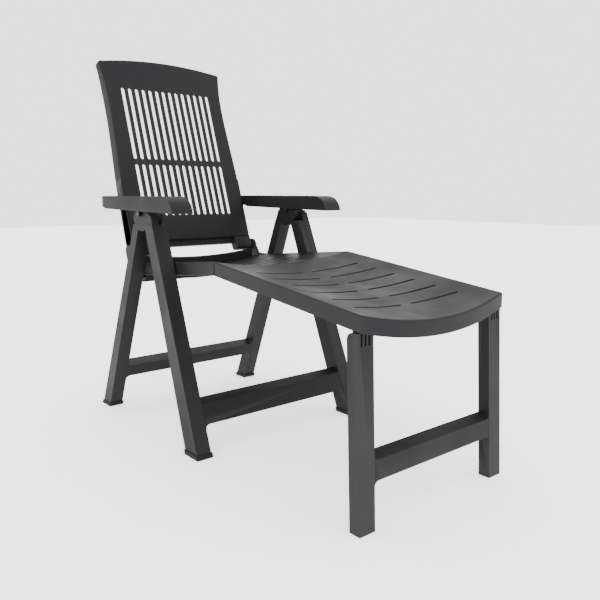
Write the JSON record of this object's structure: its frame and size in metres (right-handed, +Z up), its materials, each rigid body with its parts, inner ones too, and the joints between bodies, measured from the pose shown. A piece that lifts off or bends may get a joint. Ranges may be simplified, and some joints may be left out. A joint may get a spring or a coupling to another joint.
{
  "type": "folding reclining sun lounger",
  "caption": "Folding moulded-resin garden recliner with a slatted back, rear-pivoted armrests on a rack, crossed legs and a hook-on footrest on its own folding legs.",
  "frame": {"origin": "on the floor, at the middle of the lounger's length and width", "axes": "+Z up; -Y the way the sitter faces, towards the footrest; +X the sitter's left; Y is the lounger's length"},
  "size_m": [0.5892, 1.231, 1.1052],
  "materials": {
    "resin": "matt anthracite moulded resin with a fine leather grain",
    "pin_steel": "blackened steel pin",
    "foot_resin": "darker matt resin foot cap"
  },
  "bodies": {
    "front_legs": {"front_leg_frame": "resin", "front_foot_left": "foot_resin", "front_foot_right": "foot_resin", "leg_apex_pin_left": "pin_steel", "leg_apex_pin_right": "pin_steel", "seat_pivot_pin_left": "pin_steel", "seat_pivot_pin_right": "pin_steel"},
    "rear_legs": {"rear_leg_frame": "resin", "rear_foot_left": "foot_resin", "rear_foot_right": "foot_resin", "seat_rest_peg_left": "pin_steel", "seat_rest_peg_right": "pin_steel"},
    "seat": {"seat": "resin"},
    "hinge_pins": {"backrest_hinge_pin_left": "pin_steel", "backrest_hinge_pin_right": "pin_steel"},
    "backrest": {"backrest": "resin"},
    "arm_pin_left": {"armrest_pin_left": "pin_steel"},
    "arm_pin_right": {"armrest_pin_right": "pin_steel"},
    "armrest_left": {"armrest_left": "resin"},
    "armrest_right": {"armrest_right": "resin"},
    "footrest": {"footrest": "resin", "footrest_leg_pin_left": "pin_steel", "footrest_leg_pin_right": "pin_steel"},
    "footrest_legs": {"footrest_leg_frame": "resin"}
  },
  "joints": [
    {"name": "leg_fold", "type": "hinge", "parent": "front_legs", "child": "rear_legs", "pos_m": [0, 0.22151, 0.62], "axis": [-1, 0, 0], "range_deg": [0, 37.5]},
    {"name": "seat_fold", "type": "hinge", "parent": "front_legs", "child": "seat", "pos_m": [0, 0.13751, 0.472], "axis": [1, 0, 0], "range_deg": [0, 69]},
    {"name": "back_fold", "type": "hinge", "parent": "seat", "child": "hinge_pins", "pos_m": [0, 0.40451, 0.5], "axis": [1, 0, 0], "range_deg": [0, 103]},
    {"name": "backrest_recline", "type": "hinge", "parent": "hinge_pins", "child": "backrest", "pos_m": [0, 0.40451, 0.5], "axis": [-1, 0, 0], "range_deg": [0, 32]},
    {"name": "arm_fold_left", "type": "hinge", "parent": "backrest", "child": "arm_pin_left", "pos_m": [0, 0.46551, 0.648], "axis": [-1, 0, 0], "range_deg": [0, 108.4]},
    {"name": "arm_fold_right", "type": "hinge", "parent": "backrest", "child": "arm_pin_right", "pos_m": [0, 0.46551, 0.648], "axis": [-1, 0, 0], "range_deg": [0, 108.4]},
    {"name": "arm_level_left", "type": "hinge", "parent": "arm_pin_left", "child": "armrest_left", "pos_m": [0, 0.46551, 0.648], "axis": [1, 0, 0], "range_deg": [0, 22.1]},
    {"name": "arm_level_right", "type": "hinge", "parent": "arm_pin_right", "child": "armrest_right", "pos_m": [0, 0.46551, 0.648], "axis": [1, 0, 0], "range_deg": [0, 22.1]},
    {"name": "footrest_pull", "type": "slide", "parent": "front_legs", "child": "footrest", "axis": [0, -1, 0], "range_m": [0, 0.43]},
    {"name": "footrest_leg_fold", "type": "hinge", "parent": "footrest", "child": "footrest_legs", "pos_m": [0, -0.57637, 0.39586], "axis": [1, 0, 0], "range_deg": [0, 98]}
  ],
  "couplings": [
    {"joint": "seat_fold", "follows": "leg_fold", "ratio": 1.84},
    {"joint": "back_fold", "follows": "leg_fold", "ratio": 2.7467},
    {"joint": "arm_fold_left", "follows": "leg_fold", "ratio": 2.8907},
    {"joint": "arm_fold_right", "follows": "leg_fold", "ratio": 2.8907},
    {"joint": "footrest_pull", "follows": "leg_fold", "m_per_rad": 0.65698},
    {"joint": "arm_level_left", "follows": "backrest_recline", "ratio": 0.6878},
    {"joint": "arm_level_right", "follows": "backrest_recline", "ratio": 0.6878}
  ]
}
